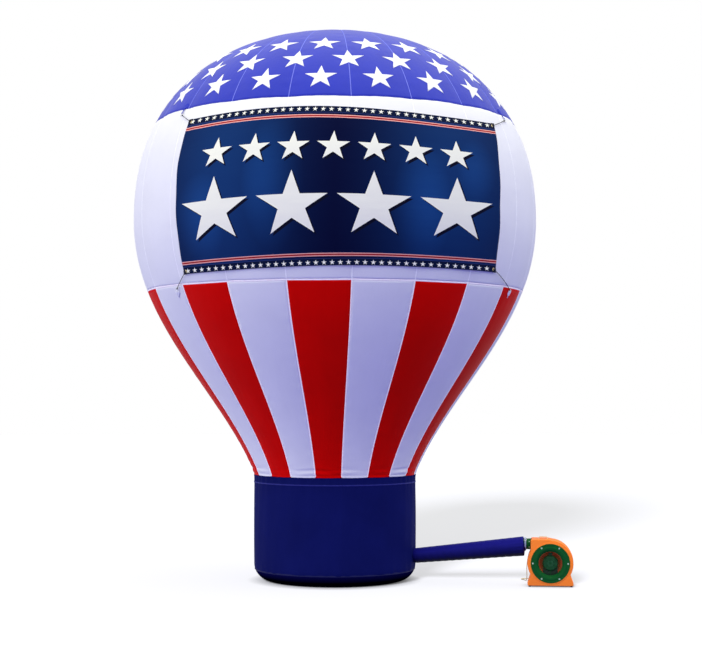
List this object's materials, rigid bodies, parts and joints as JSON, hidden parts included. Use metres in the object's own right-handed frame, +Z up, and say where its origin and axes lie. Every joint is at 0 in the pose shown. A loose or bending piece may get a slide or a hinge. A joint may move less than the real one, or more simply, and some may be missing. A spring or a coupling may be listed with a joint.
{
  "type": "advertising cold-air balloon on a drum base with blower",
  "caption": "Hot-air-balloon-shaped inflatable on a drum base, with striped skirt, starred dome, tied-on banner, air sleeve and centrifugal blower.",
  "frame": {"origin": "centre of the drum base's flat underside, on the floor", "axes": "+Z up along the envelope's axis; the banner's side, the front, faces -Y; the blower stands at the +X side"},
  "size_m": [4.8427, 4.5062, 6.1003],
  "materials": {
    "blue_nylon": "woven nylon, satin",
    "white_nylon": "woven nylon, satin",
    "red_nylon": "woven nylon, satin",
    "navy_nylon": "woven nylon, satin",
    "dark_base_cloth": "coated cloth, matte",
    "banner_vinyl": "coated banner cloth, printed",
    "strap_webbing": "woven webbing",
    "orange_plastic": "moulded, light gloss",
    "green_plastic": "moulded, light gloss",
    "green_paint": "painted, light gloss",
    "black_plastic": "moulded, matte",
    "brown_plastic": "moulded, matte",
    "black_rubber": "moulded rubber",
    "cream_plastic": "moulded, matte",
    "cord_jacket": "flexible jacket",
    "black_line": "braided line",
    "steel": "plated wire"
  },
  "bodies": {
    "balloon": {"banner": "banner_vinyl", "banner_tie_bottom_left": "black_line", "banner_tie_bottom_right": "black_line", "banner_tie_top_left": "black_line", "banner_tie_top_right": "black_line", "base_boot": "dark_base_cloth", "base_floor": "dark_base_cloth", "base_wall": "navy_nylon", "blower_housing": "orange_plastic", "carry_handle": "cream_plastic", "cord_coil": "cord_jacket", "cord_gland": "black_rubber", "dome": "blue_nylon", "foot_back_left": "black_rubber", "foot_back_right": "black_rubber", "foot_front_left": "black_rubber", "foot_front_right": "black_rubber", "inflation_sleeve": "navy_nylon", "inlet_cover": "green_plastic", "inlet_grille": "green_plastic", "mid_band": "white_nylon", "motor": "green_paint", "motor_cradle": "black_plastic", "outlet_collar": "green_plastic", "plug": "black_rubber", "power_cord": "cord_jacket", "sleeve_strap": "strap_webbing", "stripe_01_white": "white_nylon", "stripe_02_red": "red_nylon", "stripe_03_white": "white_nylon", "stripe_04_red": "red_nylon", "stripe_05_white": "white_nylon", "stripe_06_red": "red_nylon", "stripe_07_white": "white_nylon", "stripe_08_red": "red_nylon", "stripe_09_white": "white_nylon", "stripe_10_red": "red_nylon", "stripe_11_white": "white_nylon", "stripe_12_red": "red_nylon", "stripe_13_white": "white_nylon", "stripe_14_red": "red_nylon", "stripe_15_white": "white_nylon", "stripe_16_red": "red_nylon", "stripe_17_white": "white_nylon", "stripe_18_red": "red_nylon", "stripe_19_white": "white_nylon", "stripe_20_red": "red_nylon", "terminal_box": "black_plastic", "tie_ring_bottom_left": "steel", "tie_ring_bottom_right": "steel", "tie_ring_top_left": "steel", "tie_ring_top_right": "steel"},
    "wheel": {"impeller": "brown_plastic"}
  },
  "joints": [
    {"name": "impeller_spin", "type": "hinge", "parent": "balloon", "child": "wheel", "pos_m": [2.33, -0.58, 0.252], "axis": [0.1253, 0.9921, 0], "continuous": true}
  ]
}
